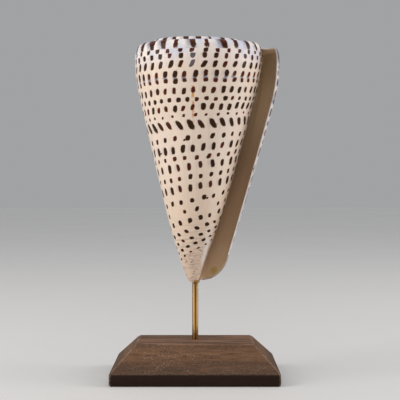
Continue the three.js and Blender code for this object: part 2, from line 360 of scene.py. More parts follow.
def sheet_of(name, places, turns, depths, inside):
    """A grid primitive with its points moved to places[row][column]; the rest go to its UV and attribute."""
    places = np.array(places)
    shape = places.shape[:2]
    turns, depths, inside = (np.broadcast_to(part, shape) for part in (turns, depths, inside))
    rows, columns = shape
    deselect_all()
    bpy.ops.mesh.primitive_grid_add(x_subdivisions=columns - 1, y_subdivisions=rows - 1, size=1)
    sheet = bpy.context.object
    sheet.name = name
    mesh = sheet.data
    flat = np.empty(len(mesh.vertices) * 3)
    mesh.vertices.foreach_get("co", flat)
    column = np.rint((flat[0::3] + 0.5) * (columns - 1)).astype(int)
    row = np.rint((0.5 - flat[1::3]) * (rows - 1)).astype(int)
    mesh.vertices.foreach_set("co", places[row, column].ravel())
    corner = np.empty(len(mesh.loops), dtype=int)
    mesh.loops.foreach_get("vertex_index", corner)
    pattern = np.stack([turns[row, column] / FULL_TURN, depths[row, column] / DEPTH_UNIT], -1)
    mesh.uv_layers.active.data.foreach_set("uv", pattern[corner].ravel())
    attribute = mesh.attributes.new("inside", "FLOAT", "POINT")
    attribute.data.foreach_set("value", inside[row, column].astype(float))
    return sheet


def outside_sheet(whorls, name, first, last, rows):
    """The outside over a range of columns, counted from where the last whorl starts."""
    columns = np.arange(first, last + 1)
    turn = BODY_START + columns / COLUMNS_PER_TURN * FULL_TURN
    places, depths = [], []
    for row in rows:
        radius, z = whorls.outside(turn, row)
        if row == 0:
            at_apex = columns < -(SPIRE_TURNS - 1) * COLUMNS_PER_TURN
            radius = np.where(at_apex, 0, radius)
            z = np.where(at_apex, crest_z(-SPIRE_TURNS * FULL_TURN) + APEX_RISE, z)
        places.append(whorls.place(turn, radius, z))
        depths.append(whorls.pattern_depth(turn, row))
    return sheet_of(name, places, turn, depths, 0.0)


def hollow_sheets(whorls):
    """The aperture's outer wall and, as its floor, the covered side of the whorl before."""
    columns = np.arange(HOLLOW_COLUMNS + 1)
    opening = 1 - smooth(columns / HOLLOW_COLUMNS, HOLLOW_NARROWS_FROM, 1)
    floor, floor_turns, wall, wall_turns, depths = [], [], [], [], []
    for row in range(LAST_ROW + 1):
        turn = whorls.hollow_turn(columns, row)
        low = max(row, CEILING_ROW)
        under = whorls.hollow_turn(columns, low) - FULL_TURN
        floor.append(whorls.place(under, *whorls.outside(under, low)))
        floor_turns.append(under)
        inner = whorls.place(turn, *whorls.inner(turn, row))
        open_share = opening * (row > 0)
        wall.append(floor[row] + (inner - floor[row]) * open_share[:, None])
        wall_turns.append(turn)
        depths.append(whorls.pattern_depth(turn, row))
    wall_sheet = sheet_of("wall", wall, wall_turns, depths, 1.0)
    # The floor faces the other way, so its columns run back to the lip
    rows = np.arange(CEILING_ROW, LAST_ROW + 1)
    places = np.array(floor)[rows, ::-1]
    under = np.array(floor_turns)[rows, ::-1]
    depths = [whorls.pattern_depth(turn, row) for turn, row in zip(under, rows)]
    covered = BODY_START - under
    near_tip = smooth(rows, *COVERED_TIP_ROWS)[:, None]
    beige = np.maximum(smooth(covered, *COVERED_OVER), near_tip * smooth(covered, *COVERED_OVER_AT_TIP))
    return wall_sheet, sheet_of("floor", places, under, depths, beige)


def lip_edge_sheet(whorls):
    """The half-round edge of the lip, from the outside to the inside."""
    shares = np.linspace(0, 1, LIP_EDGE_STEPS + 1)
    turn = np.full(LIP_EDGE_STEPS + 1, LIP_TURN)
    along = (1 - np.cos(math.pi * shares)) / 2
    small_turn = 0.001
    places, depths = [], []
    for row in range(LAST_ROW + 1):
        outer = whorls.place(turn, *whorls.outside(turn, row))
        inner = whorls.place(turn, *whorls.inner(turn, row))
        if row == 0:
            under = turn - FULL_TURN
            inner = whorls.place(under, *whorls.outside(under, CEILING_ROW))
        ahead = whorls.place(turn + small_turn, *whorls.outside(turn, row)) - outer
        ahead /= np.linalg.norm(ahead, axis=1)[:, None]
        rounding = LIP_EDGE_ROUNDING * LIP_THICKNESS * MM * np.sin(math.pi * shares) * (row > 0)
        places.append(outer + (inner - outer) * along[:, None] + ahead * rounding[:, None])
        depths.append(whorls.pattern_depth(turn, row))
    return sheet_of("lip_edge", places, LIP_TURN, depths, shares)


class CONESHELL_OT_shell(bpy.types.Operator):
    """Model the shell as one closed surface: spire, last whorl, lip, aperture and tip"""

    bl_idname = "coneshell.shell"
    bl_label = "Shell"

    def execute(self, context):
        whorls = Whorls(context.scene.cone_shell)
        spire_start = -SPIRE_TURNS * COLUMNS_PER_TURN
        sheets = [
            outside_sheet(whorls, "spire", spire_start, COLUMNS_PER_TURN, range(SEAM_ROW + 1)),
            outside_sheet(whorls, "body", 0, COLUMNS_PER_TURN, range(SEAM_ROW, LAST_ROW + 1)),
            *hollow_sheets(whorls),
            lip_edge_sheet(whorls),
        ]
        deselect_all()
        for sheet in sheets:
            sheet.select_set(True)
        bpy.context.view_layer.objects.active = sheets[0]
        bpy.ops.object.join()
        shell = bpy.context.object
        shell.name = "cone_shell"
        bpy.ops.object.mode_set(mode="EDIT")
        bpy.ops.mesh.select_all(action="SELECT")
        bpy.ops.mesh.remove_doubles(threshold=MERGE_DISTANCE)
        bpy.ops.mesh.fill_holes(sides=0)
        bpy.ops.mesh.select_all(action="SELECT")
        bpy.ops.mesh.normals_make_consistent(inside=False)
        bpy.ops.object.mode_set(mode="OBJECT")
        bpy.ops.object.shade_smooth_by_angle(angle=math.radians(50))
        dress(shell, shell_material(context.scene.cone_shell), "shell")
        return {"FINISHED"}


def dress(piece, material, node):
    """Give a finished piece its material and its body, and hide the solid that it stands for."""
    piece.data.materials.clear()
    piece.data.materials.append(material)
    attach(piece, "root")
    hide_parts(node)


class Value:
    """A node's output to reckon with: each step adds the maths node that it stands for."""

    def __init__(self, nodes, socket):
        self.nodes = nodes
        self.socket = socket

    def maths(self, operation, *others):
        made = self.nodes.add("ShaderNodeMath", enumerate([self, *others]), operation=operation)
        return Value(self.nodes, made.outputs[0])

    def __add__(self, other):
        return self.maths("ADD", other)

    def __sub__(self, other):
        return self.maths("SUBTRACT", other)

    def __rsub__(self, other):
        return self * -1 + other

    def __mul__(self, other):
        return self.maths("MULTIPLY", other)

    def __truediv__(self, other):
        return self.maths("DIVIDE", other)

    def __pow__(self, power):
        return self.maths("POWER", power)

    def __abs__(self):
        return self.maths("ABSOLUTE")

    def larger(self, other):
        return self.maths("MAXIMUM", other)

    def between(self, low, high, to_low=0.0, to_high=1.0, kind="SMOOTHSTEP"):
        """Eases from one value to another while this one goes from low to high."""
        made = self.nodes.add("ShaderNodeMapRange", {
            "Value": self, "From Min": low, "From Max": high, "To Min": to_low, "To Max": to_high},
            interpolation_type=kind)
        return Value(self.nodes, made.outputs["Result"])

    def evenly(self, low, high, to_low=0.0, to_high=1.0):
        return self.between(low, high, to_low, to_high, "LINEAR")

    def shifted(self, chance, reach):
        """This value moved by up to a reach either way, by a chance from 0 to 1."""
        return self + chance.evenly(0, 1, -reach, reach)


class Nodes:
    """Short ways to add a material's nodes; an input may be a number, a colour, a value or a socket."""

    def __init__(self, name):
        self.material = bpy.data.materials.new(name)
        self.material.use_nodes = True
        self.tree = self.material.node_tree
        self.shader = next(n for n in self.tree.nodes if n.type == "BSDF_PRINCIPLED")
        self.place = self.add("ShaderNodeTexCoord").outputs["Object"]

    def put(self, socket, value):
        if isinstance(value, Value):
            value = value.socket
        if isinstance(value, bpy.types.NodeSocket):
            self.tree.links.new(value, socket)
        elif hasattr(value, "__len__") and len(value) == 3 and len(socket.default_value) == 4:
            socket.default_value = (*value, 1)
        else:
            socket.default_value = value

    def add(self, kind, inputs=(), **settings):
        made = self.tree.nodes.new(kind)
        for key, value in settings.items():
            setattr(made, key, value)
        for key, value in dict(inputs).items():
            self.put(made.inputs[key], value)
        return made

    def vector(self, operation, *values, result="Vector"):
        made = self.add("ShaderNodeVectorMath", enumerate(values), operation=operation)
        return made.outputs[result]

    def mix(self, share, first, second):
        made = self.add("ShaderNodeMix", {"Factor": share, 6: first, 7: second}, data_type="RGBA")
        return made.outputs[2]

    def painted(self, colour, *layers):
        """A colour with tints laid over it in turn, each a pair of a mask and a tint."""
        for mask, tint in layers:
            colour = self.mix(mask, colour, tint)
        return colour

    def noise(self, vector, scale, detail=2.0, roughness=0.5):
        made = self.add("ShaderNodeTexNoise", {
            "Vector": vector, "Scale": scale, "Detail": detail, "Roughness": roughness})
        return Value(self, made.outputs["Fac"])

    def joined(self, x, y):
        return self.add("ShaderNodeCombineXYZ", {"X": x, "Y": y}).outputs[0]

    def parts(self, vector):
        made = self.add("ShaderNodeSeparateXYZ", {"Vector": vector})
        return [Value(self, socket) for socket in made.outputs]

    def channels(self, colour):
        made = self.add("ShaderNodeSeparateColor", {"Color": colour})
        return [Value(self, socket) for socket in made.outputs]

    def stretched(self, x, y, z):
        """Object coordinates, drawn out along the axes with small factors."""
        return self.add("ShaderNodeMapping", {"Vector": self.place, "Scale": (x, y, z)}).outputs[0]

    def finish(self, colour, roughness, height=None, distance=0.1 * MM, strength=1.0, **constants):
        """Link the shader; constants are its other sockets, in lower case with underscores."""
        sockets = {socket.name.lower().replace(" ", "_"): socket for socket in self.shader.inputs}
        self.put(sockets["base_color"], colour)
        self.put(sockets["roughness"], roughness)
        if height is not None:
            bump = self.add("ShaderNodeBump", {
                "Height": height, "Distance": distance, "Strength": strength})
            self.put(sockets["normal"], bump.outputs["Normal"])
        for name, value in constants.items():
            sockets[name].default_value = value
        return self.material


# The rows of spots: depth, number in a turn, phase, half width, half height, lean, share present,
# share of red ones, strength of the grey beside or above them. Lengths are millimetres.
SPOT_ROWS = [
    (15.6, 26.4, 0.76, 1.42, 4.9, 0.16, 0.97, 0.2, 1.00),
    (21.6, 33, 0.68, 0.95, 1.05, -0.10, 0.95, 0.7, 0.10),
    (24.0, 36, 0.66, 1.02, 1.30, -0.05, 1.00, 0.5, 0.15),
    (27.8, 37, 0.61, 1.05, 1.50, -0.35, 1.00, 0.4, 0.15),
    (32.2, 39, 0.84, 0.98, 1.35, -0.12, 1.00, 0.5, 0.35),
    (35.2, 39, 0.84, 0.95, 0.90, 0.00, 1.00, 0.8, 0.20),
    (39.6, 39, 0.71, 0.98, 1.42, -0.15, 1.00, 0.4, 0.15),
    (43.6, 39, 0.03, 0.95, 0.95, -0.10, 0.98, 0.5, 0.05),
    (47.3, 38, 0.63, 0.95, 1.38, -0.15, 1.00, 0.5, 0.10),
    (50.7, 30, 0.95, 0.62, 0.62, -0.10, 0.95, 1.0, 0.0),
    (54.8, 30, 0.52, 1.12, 1.90, 0.45, 1.00, 0.4, 0.15),
    (60.8, 25, 0.40, 0.92, 1.05, -0.15, 1.00, 0.5, 0.0),
    (65.6, 28, 0.76, 0.92, 1.60, -0.10, 1.00, 0.4, 0.25),
    (69.9, 24, 0.20, 0.90, 0.98, -0.10, 1.00, 0.9, 0.05),
    (73.8, 23, 0.59, 0.92, 1.75, 0.10, 1.00, 0.3, 0.25),
    (78.8, 23, 0.59, 0.85, 1.02, 0.00, 0.98, 0.5, 0.0),
    (83.6, 22, 0.63, 0.92, 1.72, 0.05, 1.00, 0.3, 0.25),
    (89.6, 18, 0.86, 0.88, 0.98, 0.00, 1.00, 0.3, 0.0),
    (94.2, 16, 0.31, 0.80, 1.00, 0.00, 0.92, 0.3, 0.0),
    (98.9, 16, 0.62, 0.85, 1.10, 0.15, 1.00, 0.3, 0.0),
    (103.6, 15, 0.30, 0.92, 0.90, 0.55, 1.00, 0.3, 0.0),
    (107.3, 15, 0.75, 0.90, 0.78, 0.60, 1.00, 0.3, 0.0),
    (110.6, 15, 0.15, 0.92, 0.68, 0.50, 0.97, 0.3, 0.2),
    (113.6, 14, 0.55, 0.65, 0.48, 0.40, 0.85, 0.3, 0.2),
]
SPOT_TWIST = 0.0399
SPOT_SQUARENESS = 2.7
SPOT_ROOT = 0.37
DEPTH_UNIT = 100.0

# The most that a row's values reach, because a colour ramp holds values from 0 to 1
MOST_DEPTH = 120
MOST_SPOTS = 40
MOST_SIZE = 5
MOST_LEAN = 2

# Keeps the count of spots above 0 on the early spire
TURNS_BEFORE = 20

# Depths in millimetres over which something sets in, from none to all of it
WHITE_SHOULDER = (30, 19)
FLAME_TOPS = (19.5, 13.5)
TAN_SIDE = (66, 98)
THREADED_TIP = (92, 118)
TAN_TIP = (108, 121)
WORN_TIP = (106, 117)
# Painted light: the top of the aperture made paler where it lies in shade
PAINTED_LIGHT_MOUTH_TOP = (64, 30)
DARK_MOUTH_FOOT = (104, 122)

# Single marks: places round the shell in whole turns, and the depths where each starts, is full,
# fades and ends. The stain's place is in metres.
LIP_AT = LIP_TURN / FULL_TURN
SCAR_TURN = 0.0226
SCAR_DEPTHS = (35, 38, 52, 55)
FADED_DEPTHS = (21, 24, 28, 30)
# Place round the shell of a painted highlight: a whitish strip low on the body beside the aperture
PAINTED_HIGHLIGHT_TURN = -0.092
DASHES_TURN = 0.7990
DASHES_DEPTHS = (56, 62, 94, 97)
GREY_BAND_DEPTH = 33.9
MOUTH_STAIN = (0.0093, 0.0, 0.0512)

# Tints of the shell's outside
DULL_CREAM = (0.60, 0.495, 0.395)
ROSY_CREAM = (0.73, 0.60, 0.53)
TAN = (0.66, 0.505, 0.375)
COOL_BLUE = (0.47, 0.52, 0.67)
THREAD_BROWN = (0.36, 0.255, 0.205)
WARM_TAN = (0.66, 0.49, 0.385)
WORN_BROWN = (0.17, 0.105, 0.078)
# Whitish colour of the painted highlight low on the body
PAINTED_HIGHLIGHT_WHITE = (0.80, 0.76, 0.74)
LIP_BLUE = (0.60, 0.63, 0.72)
SCAR_ORANGE = (0.60, 0.24, 0.035)
SPOT_EDGE_RED = (0.12, 0.034, 0.016)
SPOT_FLECK = (0.055, 0.025, 0.012)
FLAME_RED = (0.170, 0.042, 0.015)
FADED_GREY = (0.24, 0.23, 0.27)

# Tints of its inside
WARM_BEIGE = (0.61, 0.425, 0.26)
# Colour of the painted light deep in the aperture, by the shaded side of the body
PAINTED_LIGHT_DEEP_BEIGE = (0.74, 0.52, 0.33)
# Colour of the painted light at the top of the aperture
PAINTED_LIGHT_TOP_BEIGE = (1.0, 0.80, 0.54)
DARK_BEIGE = (0.365, 0.215, 0.088)
ROSY_BEIGE = (0.56, 0.37, 0.26)
LIP_BEIGE = (0.78, 0.66, 0.54)
STAIN_OLIVE = (0.38, 0.30, 0.08)
STAIN_AMBER = (0.55, 0.27, 0.03)


class ShellNodes(Nodes):
    """The places and noises on the shell that several of its marks share; turns are whole turns."""

    def __init__(self, name, settings):
        super().__init__(name)
        self.settings = settings
        self.turn, level, _ = self.parts(self.add("ShaderNodeUVMap", uv_map="UVMap").outputs["UV"])
        self.depth = level * DEPTH_UNIT
        self.warp = self.noise(self.place, 330)
        self.fine = self.noise(self.place, 1300)
        self.cloud = self.noise(self.place, 45, 3)
        sideways = self.noise(self.vector("ADD", self.place, (0.3, 0.1, 0.2)), 300)
        self.wavy_turn = self.turn.shifted(sideways, 0.0024)
        self.wavy_depth = self.depth.shifted(self.warp, 0.45)
        self.scar_turn = self.turn.shifted(self.warp, 0.006)
        self.edge = self.fine.evenly(0, 1, -0.18, 0.18)
        self.growth = self.noise(self.joined(self.turn * 90, level * 3), 1, 4, 0.6)
        self.along_lip = self.noise(self.joined(self.turn * 60, level), 1)
        untwisted = level * (self.turn * 0.17).maths("EXPONENT")
        self.threads = self.noise(self.joined(self.turn * 5, untwisted * 120), 1, 3, 0.6)
        self.low = self.depth.between(*THREADED_TIP)
        grit = self.noise(self.stretched(1.0, 1.0, 2.2), 520, 5, 0.8)
        self.worn = (
            grit.between(0.48, 0.62) * self.depth.between(*WORN_TIP)
            * self.warp.between(0.42, 0.60, 0.3, 1.0))

    def at_depths(self, start, full, fades, end):
        return self.depth.between(start, full) * self.depth.between(end, fades)


def row_values(nodes, *columns):
    """Steps of three values between 0 and 1, one step for each row of spots."""
    low, high = SPOT_ROWS[0][0] - 8, SPOT_ROWS[-1][0] + 3
    made = nodes.add("ShaderNodeValToRGB", {"Fac": nodes.wavy_depth.evenly(low, high)})
    ramp = made.color_ramp
    ramp.interpolation = "CONSTANT"
    tops = [row[0] - row[4] for row in SPOT_ROWS]
    feet = [row[0] + row[4] for row in SPOT_ROWS]
    starts = [low] + [(foot + top) / 2 for foot, top in zip(feet, tops[1:])]
    for i, (start, values) in enumerate(zip(starts, zip(*columns))):
        step = ramp.elements[i] if i < 2 else ramp.elements.new(1.0)
        step.position = (start - low) / (high - low)
        step.color = (*values, 1.0)
    return nodes.channels(made.outputs["Color"])


def spot_cell(nodes):
    """The cell of one spot: the place in it from its centre, its size and what chance gives it."""
    turn, depth = nodes.wavy_turn, nodes.wavy_depth
    depths, counts, phases, widths, heights, leans, shares, reds, greys = zip(*SPOT_ROWS)
    centre, count, width = row_values(
        nodes, [d / MOST_DEPTH for d in depths], [c / MOST_SPOTS for c in counts],
        [w / MOST_SIZE for w in widths])
    height, lean, share = row_values(
        nodes, [h / MOST_SIZE for h in heights], [0.5 + v / (2 * MOST_LEAN) for v in leans], shares)
    phase, red, grey = row_values(nodes, phases, reds, greys)
    count = count * MOST_SPOTS
    # Fewer flames on each earlier whorl of the spire, so that they don't line up as spokes
    early = (turn + 0.2).maths("MINIMUM", 0.0)
    fewer = early * early * 0.042
    along = (turn + TURNS_BEFORE + fewer) * count + phase
    number = along.maths("FLOOR")
    chance = nodes.add("ShaderNodeTexWhiteNoise", {
        "Vector": nodes.joined(number, centre * 37)}, noise_dimensions="2D")
    dice = nodes.channels(chance.outputs["Color"])
    rare = Value(nodes, chance.outputs["Value"])
    radius = depth.evenly(28, 115, 31.0, 8.5)
    x = (along - number - 0.5).shifted(dice[0], 0.07) * (radius * FULL_TURN / count)
    y = (depth - centre * MOST_DEPTH).shifted(dice[1], 0.25)
    tilt = ((lean - 0.5) * (2 * MOST_LEAN)).shifted(dice[2], 0.12)
    drawn_out_at_lip = turn.between(0.770, 0.790, 1.0, 0.45)
    size = rare.evenly(0, 1, 0.97, 1.24)
    uneven_flames = depth.between(18.6, 18.2) * dice[0].evenly(0, 1, -0.40, 0.25)
    return SimpleNamespace(
        x=(x + y * tilt) * drawn_out_at_lip, y=y, early=early, dice=dice, rare=rare,
        red=red, grey=grey, half_width=width * MOST_SIZE * (size + uneven_flames),
        half_height=height * MOST_SIZE * size,
        present=dice[1].maths("LESS_THAN", share + early.evenly(-2, 0, -0.15, 0)))


def from_centre(nodes, cell, x, y):
    """1 on the outline of the cell's spot, a rounded rectangle with a rough edge."""
    across = abs(x / cell.half_width) ** SPOT_SQUARENESS
    down = abs(y / cell.half_height) ** SPOT_SQUARENESS
    return (across + down) ** SPOT_ROOT + nodes.edge


def spot_masks(nodes, cell):
    """Masks of the spots and of their cores."""
    turn, depth = nodes.wavy_turn, nodes.wavy_depth
    distance = from_centre(nodes, cell, cell.x, cell.y)
    spot = distance.between(1.12, 0.84) * cell.present
    # A few spots low on the side have a small dot beside them
    dot_x = (cell.x + cell.dice[2].between(0.45, 0.55, -1.5, 1.5)) / 0.62
    dot_y = (cell.y - 0.75) / 0.50
    dot = (dot_x * dot_x + dot_y * dot_y).maths("SQRT") + nodes.edge
    dot = (
        dot.between(1.1, 0.8) * cell.rare.maths("GREATER_THAN", 0.955)
        * cell.present * depth.between(50, 60))
    covered_corner = turn.between(0.70, 0.72) * depth.between(91, 93)
    spot = (
        spot.larger(dot) * turn.between(LIP_AT - 0.0002, LIP_AT - 0.0020)
        * (1 - covered_corner) * cell.early.between(-5.4, -4.2))
    return spot, distance.between(0.98, 0.55)


def smear_mask(nodes, cell):
    """Blue-grey smears beside some spots, and a band of them between two rows."""
    x = (cell.x - cell.half_width * 0.95) / 1.45
    y = (cell.y + 0.2) / 1.15
    smear = (
        (from_centre(nodes, cell, x, y) + nodes.edge).between(1.35, 0.15)
        * cell.dice[2].between(0.2, 0.6) * cell.early.between(-1.2, 0, 0.35, 1.0)
        * cell.grey * cell.present)
    band = (
        abs(nodes.wavy_depth - GREY_BAND_DEPTH).between(2.2, 1.0)
        * abs(cell.x - 0.15).between(1.5, 0.6) * nodes.cloud.between(0.35, 0.5, 0.45, 1.0))
    return smear.larger(band)


def ground_colour(nodes):
    """Cream sides, a whiter shoulder and spire, a browner tip, a painted highlight, the lip's strip and the
    scar.
    """
    turn, depth, cloud = nodes.turn, nodes.depth, nodes.cloud
    shoulder = depth.between(*WHITE_SHOULDER)
    cool = nodes.noise(nodes.place, 120).between(0.42, 0.62) * shoulder
    # Painted highlight: a whitish strip low on the body beside the aperture
    painted_highlight = (
        abs(turn - PAINTED_HIGHLIGHT_TURN).between(0.056, 0.010) * depth.between(102, 118, 0.15, 1.0)
        * depth.between(126, 122) * cloud.between(0.3, 0.6, 0.4, 0.75))
    near_lip = turn.between(0.788, 0.796) * depth.between(104, 94)
    patches = nodes.noise(nodes.joined(turn, depth * 0.45), 1)
    scar = (
        abs(nodes.scar_turn - SCAR_TURN).between(0.0042, 0.001)
        * nodes.at_depths(*SCAR_DEPTHS) * patches.between(0.42, 0.55))
    return nodes.painted(
        nodes.settings.cream,
        (shoulder, nodes.settings.white),
        (nodes.growth.between(0.45, 0.75, 0, 0.5), DULL_CREAM),
        (cloud.between(0.4, 0.7, 0, 0.45), ROSY_CREAM),
        (depth.between(*TAN_SIDE, 0, 0.55), TAN),
        (cool * 0.7, COOL_BLUE),
        (nodes.threads.between(0.47, 0.68, 0, 0.75) * nodes.low, THREAD_BROWN),
        (depth.between(*TAN_TIP, 0, 0.5), WARM_TAN),
        (nodes.worn * 0.85, WORN_BROWN),
        (painted_highlight, PAINTED_HIGHLIGHT_WHITE),
        (near_lip * 0.75, LIP_BLUE),
        (scar * 0.9, SCAR_ORANGE))


def spot_colour(nodes, cell, core):
    """Dark brown, redder in some spots and at their edges, and reddest in the flames' tops."""
    settings = nodes.settings
    red = (cell.dice[0] - cell.red * 1.2).between(0.1, -0.4)
    redder = nodes.mix(core * 0.4, settings.rust, settings.spot)
    colour = nodes.mix(red * 0.95, settings.spot, redder)
    colour = nodes.mix(core, nodes.mix(0.45, colour, SPOT_EDGE_RED), colour)
    flame_top = nodes.depth.between(*FLAME_TOPS) * nodes.warp.between(0.35, 0.65, 0.5, 0.95)
    return nodes.painted(
        colour, (nodes.fine.between(0.40, 0.65, 0, 0.25), SPOT_FLECK), (flame_top, FLAME_RED))


def lip_dashes(nodes):
    """Mask of the short dark dashes along the lip's edge."""
    wave = (nodes.depth * 1.35 + nodes.cloud * 9).maths("COSINE")
    return (
        wave.between(0.25, 0.6) * abs(nodes.wavy_turn - DASHES_TURN).between(0.0036, 0.0024)
        * nodes.at_depths(*DASHES_DEPTHS))


def inside_colour(nodes):
    """Beige darkened as painted shade, with painted light at the top and deeper in, paler at the lip and
    darker at the foot, with one amber stain.
    """
    turn, depth = nodes.turn, nodes.depth
    offset = nodes.vector("MULTIPLY", nodes.vector("SUBTRACT", nodes.place, MOUTH_STAIN), (0.85, 0, 1.4))
    distance = Value(nodes, nodes.vector("LENGTH", offset, result="Value"))
    distance = distance.shifted(nodes.warp, 1.6 * MM)
    return nodes.painted(
        nodes.settings.inside,
        (nodes.cloud.between(0.3, 0.7), WARM_BEIGE),
        # Painted light deeper in from the lip, towards the shaded side of the body
        (turn.between(0.780, 0.725, 0, 0.4), PAINTED_LIGHT_DEEP_BEIGE),
        # Painted light at the top of the aperture, where it lies in shade
        (depth.between(*PAINTED_LIGHT_MOUTH_TOP, 0, 0.95), PAINTED_LIGHT_TOP_BEIGE),
        (depth.between(*DARK_MOUTH_FOOT, 0, 0.8), DARK_BEIGE),
        (nodes.along_lip.between(0.45, 0.7, 0, 0.3), ROSY_BEIGE),
        (turn.between(0.782, 0.7905) * 0.6, LIP_BEIGE),
        (distance.between(3.0 * MM, 1.2 * MM, 0, 0.65), STAIN_OLIVE),
        (distance.between(1.5 * MM, 0.4 * MM, 0, 0.65), STAIN_AMBER))


def shell_material(settings):
    nodes = ShellNodes("glossy_shell", settings)
    cell = spot_cell(nodes)
    spot, core = spot_masks(nodes, cell)
    dash_colour = nodes.mix(nodes.warp.between(0.4, 0.6), settings.spot, settings.rust)
    # The spots beside the scar have faded at the shoulder
    faded = (
        abs(nodes.scar_turn - SCAR_TURN).between(0.016, 0.006) * spot
        * nodes.at_depths(*FADED_DEPTHS))
    inside = Value(nodes, nodes.add("ShaderNodeAttribute", attribute_name="inside").outputs["Fac"])
    colour = nodes.painted(
        ground_colour(nodes),
        (smear_mask(nodes, cell) * 0.85, settings.smear),
        (spot, spot_colour(nodes, cell, core)),
        (lip_dashes(nodes), dash_colour),
        (faded * 0.4, FADED_GREY),
        (inside.between(0.35, 0.9), inside_colour(nodes)))
    return nodes.finish(
        colour, (nodes.worn + nodes.fine * 0.4).between(0, 1, 0.24, 0.45),
        nodes.growth + nodes.threads * nodes.low, 0.1 * MM, 0.5,
        ior=1.5, specular_ior_level=0.1, subsurface_weight=0.05, subsurface_scale=0.001)


POST_END_ROUNDING = 0.3 * MM
BRASS_TARNISH = (0.50, 0.28, 0.10)
# Colour of the painted dark reflections down the rod
BRASS_SHADOW = (0.12, 0.060, 0.018)


class CONESHELL_OT_post(bpy.types.Operator):
    """Model the polished brass rod from its hole in the block up into the shell's tip"""

    bl_idname = "coneshell.post"
    bl_label = "Post"

    def execute(self, context):
        low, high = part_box("post")
        deselect_all()
        bpy.ops.mesh.primitive_cylinder_add(
            vertices=64, radius=context.scene.cone_stand.post_diameter / 2,
            depth=high[2] - low[2], location=(0, 0, (low[2] + high[2]) / 2))
        post = bpy.context.object
        post.name = "brass_post"
        round_edges(post, POST_END_ROUNDING, 3, math.radians(30))
        bpy.ops.object.transform_apply(location=True, rotation=True, scale=True)
        bpy.ops.object.shade_smooth_by_angle(angle=math.radians(35))
        dress(post, brass_material(context.scene.cone_stand), "post")
        return {"FINISHED"}


def round_edges(piece, width, segments, sharper_than):
    bevel = piece.modifiers.new("rounded_edges", "BEVEL")
    bevel.width = width
    bevel.segments = segments
    bevel.limit_method = "ANGLE"
    bevel.angle_limit = sharper_than
    bpy.ops.object.modifier_apply(modifier=bevel.name)


def brass_material(settings):
    """Drawn brass, a little tarnished, with painted dark reflections as streaks along the rod."""
    nodes = Nodes("polished_brass")
    drawn = nodes.noise(nodes.stretched(1.0, 1.0, 0.06), 4000, 3, 0.6)
    tarnish = nodes.noise(nodes.place, 160, 3, 0.6)
    x, y, _ = nodes.parts(nodes.place)
    around = x.maths("ARCTAN2", y * -1)
    # Painted dark reflections: streaks down the rod, set by the angle round it
    streak = ((around - 0.12) * 5).maths("COSINE").between(-0.4, 0.7)
    colour = nodes.painted(
        settings.brass, (tarnish.between(0.45, 0.8, 0, 0.5), BRASS_TARNISH),
        (streak * 0.85, BRASS_SHADOW))
    rough = (drawn + tarnish).evenly(0.6, 1.4, 0.14, 0.3)
    return nodes.finish(colour, rough, drawn, 0.02 * MM, 0.25, metallic=1.0)


# The drop of glue hugs the rod at its foot and reaches forward over the tip above that
GLUE_FOOT_RADIUS = 1.7 * MM
GLUE_HALF_HEIGHT = 2.5 * MM
GLUE_DEPTH_BY_WIDTH = 1.5
GLUE_SWELL = 0.04
GLUE_TO_TIP = (0.1, 0.55)
GLUE_WIDENS_BY = 0.55
GLUE_BROWN = (0.20, 0.09, 0.012)


class CONESHELL_OT_glue(bpy.types.Operator):
    """Model the small drop of set glue round the top of the post"""

    bl_idname = "coneshell.glue"
    bl_label = "Glue"

    def execute(self, context):
        low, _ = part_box("glue")
        tip = context.scene.cone_shell.tip
        radius = context.scene.cone_stand.glue_radius
        deselect_all()
        bpy.ops.mesh.primitive_uv_sphere_add(segments=48, ring_count=24, radius=1)
        glue = bpy.context.object
        glue.name = "glue_drop"
        for vertex in glue.data.vertices:
            x, y, z = vertex.co
            around = math.atan2(y, x)
            swell = 1 + GLUE_SWELL * (math.sin(around + 2.0) + math.sin(3 * around))
            over_tip = float(smooth((z + 1) / 2, 0.0, GLUE_WIDENS_BY))
            wide = GLUE_FOOT_RADIUS + (radius - GLUE_FOOT_RADIUS) * over_tip
            deep = GLUE_FOOT_RADIUS + (GLUE_DEPTH_BY_WIDTH * radius - GLUE_FOOT_RADIUS) * over_tip
            vertex.co = (
                x * wide * swell + GLUE_TO_TIP[0] * tip[0] * over_tip,
                y * deep * swell + GLUE_TO_TIP[1] * tip[1] * over_tip,
                low[2] + GLUE_HALF_HEIGHT * (z + 1),
            )
        bpy.ops.object.shade_smooth()
        dress(glue, glue_material(context.scene.cone_stand), "glue")
        return {"FINISHED"}


def glue_material(settings):
    nodes = Nodes("amber_glue")
    cloud = nodes.noise(nodes.place, 700, 3, 0.6)
    colour = nodes.mix(cloud.between(0.35, 0.7), settings.glue, GLUE_BROWN)
    return nodes.finish(
        colour, cloud.between(0.2, 0.8, 0.2, 0.35), cloud, 0.1 * MM, 0.3,
        subsurface_weight=0.3, subsurface_scale=0.001)


BLOCK_EDGE_ROUNDING = 1.2 * MM
WOOD_BAND = (0.150, 0.078, 0.042)
WOOD_PORE = (0.016, 0.010, 0.007)
WOOD_REDDISH = (0.190, 0.098, 0.052)
WOOD_DUSKY = (0.056, 0.035, 0.025)
# Colour of the painted sheen on the flat top
WOOD_TOP_PAINTED_SHEEN = (0.225, 0.122, 0.073)
WOOD_TOP_DARK = (0.072, 0.042, 0.027)
# Colour of the painted shade on the upright sides
WOOD_SIDE_PAINTED_SHADE = (0.0105, 0.0034, 0.0012)


